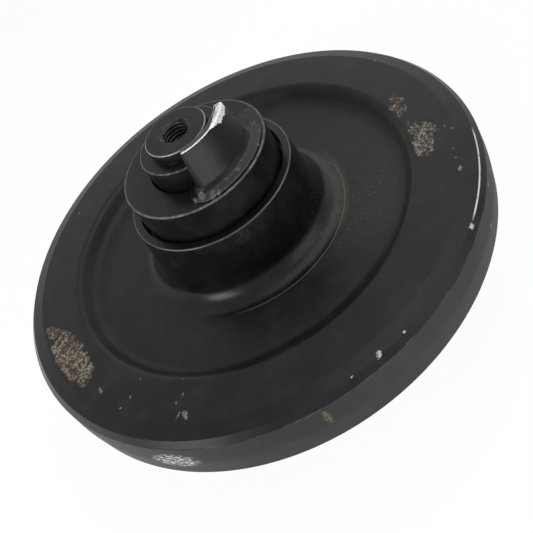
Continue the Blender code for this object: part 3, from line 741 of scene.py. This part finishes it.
def with_hole(name, mesh, radius, start, end):
    """A copy of the mesh with one round hole cut in it between two points."""
    start, end = Vector(start), Vector(end)
    along = (end - start).to_track_quat("Z", "Y").to_matrix().to_4x4()
    shape = bmesh.new()
    bmesh.ops.create_cone(
        shape, cap_ends=True, segments=DRILL_SIDES, radius1=radius, radius2=radius,
        depth=(end - start).length, matrix=Matrix.Translation((start + end) / 2) @ along,
    )
    drill_mesh = bpy.data.meshes.new("drill")
    shape.to_mesh(drill_mesh)
    shape.free()
    body, drill = bpy.data.objects.new(name, mesh), bpy.data.objects.new("drill", drill_mesh)
    for helper in (body, drill):
        scene.collection.objects.link(helper)
    cut = body.modifiers.new("hole", "BOOLEAN")
    cut.operation = "DIFFERENCE"
    cut.solver = "EXACT"
    cut.object = drill
    bpy.context.view_layer.update()
    graph = bpy.context.evaluated_depsgraph_get()
    result = bpy.data.meshes.new_from_object(body.evaluated_get(graph))
    for helper in (body, drill):
        bpy.data.objects.remove(helper)
    result.name = name
    return result


def turned_round(mesh, name):
    """A copy of the mesh given half a turn about Y."""
    copy = mesh.copy()
    copy.name = name
    copy.transform(Matrix.Rotation(math.pi, 4, "Y"))
    return copy


collar_paint = Paint("collar_black_paint")
p = collar_paint
cast = p.band(p.height, 97.4, 132.0, 0.8)
p.relief = p.relief + cast * p.noise(p.at, 260.0, 4.0, 0.6) * 0.14
p.rough = p.rough - 0.04 + cast * 0.04
side_marks = (p.height * (2 * math.pi / (0.8 * MM))).math("SINE")
p.relief = p.relief + p.band(p.height, 63, 93, 1) * side_marks * 0.003
face_marks = (p.radius * (2 * math.pi / (0.7 * MM))).math("SINE")
p.relief = p.relief + p.band(p.height, 95.2, 95.7, 0.1) * face_marks * 0.003
fine = p.noise(p.at, 700.0, 5.0, 0.7)
coarse = p.noise(p.at, 160.0, 4.0, 0.6)

# Where the lug and its pad were handled: a rough grey pad with bare specks, a soiled face beside
# it, a rubbed rim, and brighter lumps of paint round the lug's foot.
front_side = p.y.between(10 * MM, -15 * MM)
pad_top = p.band(p.height, 96.4, 98.2, 0.5) * p.radius.between(48.5 * MM, 50.0 * MM) * front_side
p.relief = p.relief + pad_top * fine * 0.25
p.lay(pad_top * (0.45 + 0.55 * fine.between(0.35, 0.6)), (0.072, 0.070, 0.064), 0.5)
soiled = p.patch((40, -34, 95.5), (27, 26, 5)).between(0.0, 0.5) * fine.between(0.42, 0.62)
p.lay(soiled * 0.8, (0.075, 0.070, 0.060), 0.7, 0.0, 0.1)
p.lay(pad_top * coarse.between(0.60, 0.72) * 0.6, (0.22, 0.21, 0.20), 0.45, 0.3)
rim = p.edge(58.9, 95.0, 1.3)
p.lay(rim * (0.35 + 0.5 * coarse.between(0.38, 0.60)), (0.17, 0.17, 0.165), 0.42, 0.4)
bright = p.marks([
    (-33, -37, 7.0, 3.4, 60), (-31, -46, 6.5, 3.2, 35), (-27, -49, 4.0, 1.8, 25),
    (-38, -34, 3.5, 2.0, 50),
], 97.1)
bright = bright.math("MAXIMUM", p.marks([
    (51, -18, 2.4, 1.1, 60), (47, -7, 2.4, 1.0, 10), (55, -17.5, 1.6, 1.0, 60),
    (48.5, -32, 1.6, 1.0, 40), (40, -34, 3.0, 1.0, 40), (20, -53, 2.5, 0.9, 20),
], 96.3))
bright = (bright * 1.1 + (coarse - 0.5) * 1.6).between(0.15, 0.6) * bright.between(0.0, 0.2)
p.lay(bright * fine.between(0.30, 0.60), (0.22, 0.21, 0.19), 0.5, 0.2)

# The lug's end is bare along its outer side: a narrow line that widens at one end of the lug and
# there reaches some way down the wall. A second, thinner line runs along the inner edge.
ragged = (coarse - 0.5) * (6.0 * MM) + (fine - 0.5) * (2.5 * MM)
wide = p.x.between(-2 * MM, 14 * MM)
drop = LUG_TOP - p.height
reach = wide * (4.0 * MM) + 0.35 * MM + ragged * (0.10 + 1.5 * wide)
deep = (reach - drop).between(-0.2 * MM, 0.2 * MM)
inner_limit = 41.1 * MM - wide * (3.2 * MM)
outwards = (p.radius - inner_limit + ragged * 0.35).between(-0.15 * MM, 0.2 * MM)
bare = deep * outwards * p.band(p.height, 118, 132, 1)
scratched = p.noise(p.at, 1500.0, 2.0).between(0.35, 0.65)
p.lay(bare, p.mix(scratched, (0.46, 0.46, 0.45), (0.88, 0.88, 0.87)), 0.40, 0.7)
slits = p.band(p.radius, 38.5, 38.9, 0.2).math("MAXIMUM", p.band(p.radius, 39.9, 40.2, 0.2))
p.lay(slits * bare * wide * coarse.between(0.42, 0.5), (0.04, 0.04, 0.04), 0.5)
thin = p.band(p.height, 129.8, 131, 0.3) * p.band(p.radius, 36.4, 36.8, 0.25)
p.lay(thin * coarse.between(0.3, 0.5), (0.45, 0.45, 0.44), 0.4, 0.6)
p.lay(p.marks([(-23, -33.6, 1.9, 1.7, 0)], 130.5).between(0.1, 0.4), (0.8, 0.8, 0.78), 0.4, 0.6)
lug_end = p.band(p.height, 130.6, 131.5, 0.2) * p.radius.between(41.3 * MM, 40.6 * MM)
p.lay(lug_end * (1.0 - wide) * (1.0 - bare) * 0.8, (0.090, 0.088, 0.084), 0.42)
p.finish(gloss=0.15)

front_mesh = join_meshes("collar_front_casting", collar_meshes())
front_mesh = with_hole(
    "collar_front_casting", front_mesh, PIN_HOLE, (0, 30 * MM, PIN_HEIGHT), (0, 64 * MM, PIN_HEIGHT)
)
rear_mesh = turned_round(front_mesh, "collar_rear_casting")
for end, mesh in (("front", front_mesh), ("rear", rear_mesh)):
    add_piece(
        f"collar_{end}_casting", mesh, "shaft_assembly",
        [f"collar_{end}"], collar_paint,
    )


# Shaft: turned steel bar with a shoulder, a spigot and a threaded hole at each end, painted black
# with the rest. Its turning marks show as fine rings, and its edges and thread crests are rubbed.
SHAFT_SIDES = 144
THREAD_MINOR, THREAD_MAJOR = 10.4 * MM, 12.0 * MM
THREAD_PITCH = 3.0 * MM
THREAD_LENGTH = 27.0 * MM
THREAD_STEP = 0.25 * MM
SHAFT_END = 122.3 * MM
THREAD_FADE = 2 * MM
ROOT_FLAT, FLANK_SLOPE = 0.19 * MM, 1.732
HOLE_FLOOR = 76.3 * MM
POINT_SLOPE = math.tan(math.radians(31))
MOUTH_RADIUS = 12.1 * MM
GALLERY_RADIUS = 3.5 * MM
PLUG_RADIUS, PLUG_LENGTH = 6.8 * MM, 11.0 * MM


def half_shaft(end):
    """Section of one end of the shaft, from what its hole ends in to its middle."""
    if end == "front":
        bottom = [(0.0, HOLE_FLOOR - THREAD_MINOR * POINT_SLOPE, 0)]
    else:
        seat = HOLE_FLOOR - (THREAD_MINOR - PLUG_RADIUS) * POINT_SLOPE
        bottom = [(0.0, 0.0, 0), (GALLERY_RADIUS, 0.0, 0), (GALLERY_RADIUS, seat - PLUG_LENGTH, 0),
                  (PLUG_RADIUS, seat - PLUG_LENGTH, 0), (PLUG_RADIUS, seat, 0)]
    sizes = [(10.4, 76.3, 0), (10.4, 95.3, 0), (10.4, 121.0, 0), (12.1, 122.3, 0.3),
             (25.0, 122.3, 0.9), (25.0, 113.7, 0.3), (34.5, 113.7, 1.1)]
    outer = [(r * MM, z * MM, fillet * MM) for r, z, fillet in sizes]
    return bottom + outer


front_half, rear_half = half_shaft("front"), half_shaft("rear")
shaft_section = front_half + [(r, -z, fillet) for r, z, fillet in reversed(rear_half)]
shaft_section = with_straights(rounded_section(shaft_section), closed=False)

# The threaded stretches get rows a quarter of a millimetre apart.
in_hole = abs(shaft_section[:, 0] - THREAD_MINOR) < 0.01 * MM
in_hole &= abs(shaft_section[:, 1]) > SHAFT_END - THREAD_LENGTH - 0.5 * MM
thread_heights = np.arange(SHAFT_END - 0.05 * MM, SHAFT_END - THREAD_LENGTH, -THREAD_STEP)
thread_rows = np.column_stack([np.full(len(thread_heights), THREAD_MINOR), thread_heights])
first_hole = np.flatnonzero(in_hole & (shaft_section[:, 1] > 0))
last_hole = np.flatnonzero(in_hole & (shaft_section[:, 1] < 0))
mouth = shaft_section[first_hole[-1] + 1:last_hole[0]]
mouth = mouth[(abs(mouth[:, 1]) < SHAFT_END - 0.01 * MM) | (mouth[:, 0] > THREAD_MAJOR)]
shaft_section = np.concatenate([
    shaft_section[:first_hole[0]], thread_rows[::-1], mouth, thread_rows * (1, -1),
    shaft_section[last_hole[-1] + 1:],
])
shaft_grid = turned_grid(shaft_section, SHAFT_SIDES)
threaded = abs(shaft_section[:, 0] - THREAD_MINOR) < 0.01 * MM
threaded &= abs(shaft_section[:, 1]) > SHAFT_END - THREAD_LENGTH

# The thread's radius is that of its root, less 1.73 times the distance along the axis from the
# root's flat, between root and crest radius; at its mouth it is that of the 45 degree chamfer.
turn = np.linspace(0, 1, SHAFT_SIDES, endpoint=False)
along = np.abs(shaft_section[threaded, 1])[:, None]
phase = np.mod(along / THREAD_PITCH - turn * np.sign(shaft_section[threaded, 1])[:, None], 1.0)
away = np.abs(phase - 0.5) * THREAD_PITCH
thread = np.clip(THREAD_MAJOR - (away - ROOT_FLAT) * FLANK_SLOPE, THREAD_MINOR, THREAD_MAJOR)
fade = np.clip((along - (SHAFT_END - THREAD_LENGTH)) / THREAD_FADE, 0, 1)
thread = THREAD_MINOR + (thread - THREAD_MINOR) * fade
thread = np.maximum(thread, MOUTH_RADIUS - (SHAFT_END - along))
shaft_grid[threaded, :, :2] *= (thread / THREAD_MINOR)[..., None]

shaft_paint = Paint("shaft_black_paint")
p = shaft_paint
rings = (p.radius * (2 * math.pi / (0.55 * MM)) + p.mottle * 2.0).math("SINE")
p.relief = p.relief + p.band(p.radius, 12.5, 33.8, 0.5) * rings * 0.004
fine = p.noise(p.at, 900.0, 4.0, 0.7)
coarse = p.noise(p.at, 200.0, 4.0, 0.6)
p.rough = p.rough - 0.06
spigot_edge = p.edge(24.7, 122.0, 0.75) * (0.5 + 0.5 * coarse.between(0.35, 0.52))
p.lay(spigot_edge, (0.30, 0.30, 0.29), 0.4, 0.5)
shoulder_edge = p.edge(34.0, 113.2, 0.9) * (0.25 + 0.5 * coarse.between(0.40, 0.6))
p.lay(shoulder_edge, (0.17, 0.17, 0.165), 0.42, 0.4)
mouth_edge = p.edge(12.1, 122.3, 0.7) * coarse.between(0.40, 0.65) * 0.5
p.lay(mouth_edge, (0.16, 0.16, 0.15), 0.42, 0.3)
crests = p.band(p.height, 95.0, 121.5, 0.5) * p.radius.between(11.2 * MM, 10.5 * MM)
p.lay(crests * (0.2 + 0.5 * coarse.between(0.40, 0.6)), (0.16, 0.15, 0.13), 0.4, 0.4)
face_specks = p.specks(p.at, 420.0, 0.14) * p.height.between(113.0 * MM, 113.4 * MM)
p.lay(face_specks * coarse.between(0.5, 0.6), (0.34, 0.33, 0.30), 0.5)
p.finish(gloss=0.15)
add_piece(
    "shaft_bar", grid_mesh("shaft_bar", shaft_grid, close_rows=False), "shaft_assembly",
    ["shaft"], shaft_paint, sharp=60,
)


# Inner parts, kept as the CAD has them: bronze bushes and washers, lapped steel seal rings with
# their rubber torics, rubber O-rings, and blackened steel pins and oil plug.
bronze = Finish("turned_bronze")
at = bronze.place()
bronze.set(
    Base_Color=bronze.mix(bronze.noise(at, 90.0), (0.62, 0.38, 0.17), (0.72, 0.48, 0.25)),
    Metallic=1.0,
    Roughness=0.24 + 0.16 * bronze.noise(at, 300.0),
    Normal=bronze.bump(bronze.noise(at, 1200.0, 2.0) * 0.02),
)
lapped_steel = Finish("lapped_steel")
at = lapped_steel.place()
steel_tone = lapped_steel.mix(lapped_steel.noise(at, 60.0), (0.50, 0.50, 0.51), (0.60, 0.60, 0.60))
lapped_steel.set(
    Base_Color=steel_tone,
    Metallic=1.0,
    Roughness=0.16 + 0.14 * lapped_steel.noise(at, 500.0),
    Normal=lapped_steel.bump(lapped_steel.noise(at, 1600.0, 2.0) * 0.01),
)
rubber = Finish("black_rubber")
at = rubber.place()
rubber.set(
    Base_Color=rubber.mix(rubber.noise(at, 150.0), (0.018, 0.018, 0.018), (0.030, 0.029, 0.028)),
    Roughness=0.5 + 0.2 * rubber.noise(at, 400.0),
    Normal=rubber.bump(rubber.noise(at, 900.0, 2.0) * 0.03),
)
blackened = Finish("blackened_steel")
at = blackened.place()
rubbed = blackened.noise(at, 300.0).between(0.45, 0.7)
blackened.set(
    Base_Color=blackened.mix(rubbed, (0.05, 0.05, 0.052), (0.16, 0.15, 0.14)),
    Metallic=0.9,
    Roughness=0.34 + 0.2 * blackened.noise(at, 500.0),
    Normal=blackened.bump(blackened.noise(at, 1400.0, 2.0) * 0.02),
)
inner_parts = {
    bronze: ("bush", "thrust_washer"),
    lapped_steel: ("fixed_seal_ring", "turning_seal_ring"),
    rubber: ("fixed_toric", "turning_toric", "shaft_o_ring"),
    blackened: ("lock_pin",),
}
for finish, kinds in inner_parts.items():
    for kind in kinds:
        for end in ("front", "rear"):
            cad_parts[f"{kind}_{end}"].material_slots[0].material = finish.material
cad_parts["oil_plug"].material_slots[0].material = blackened.material
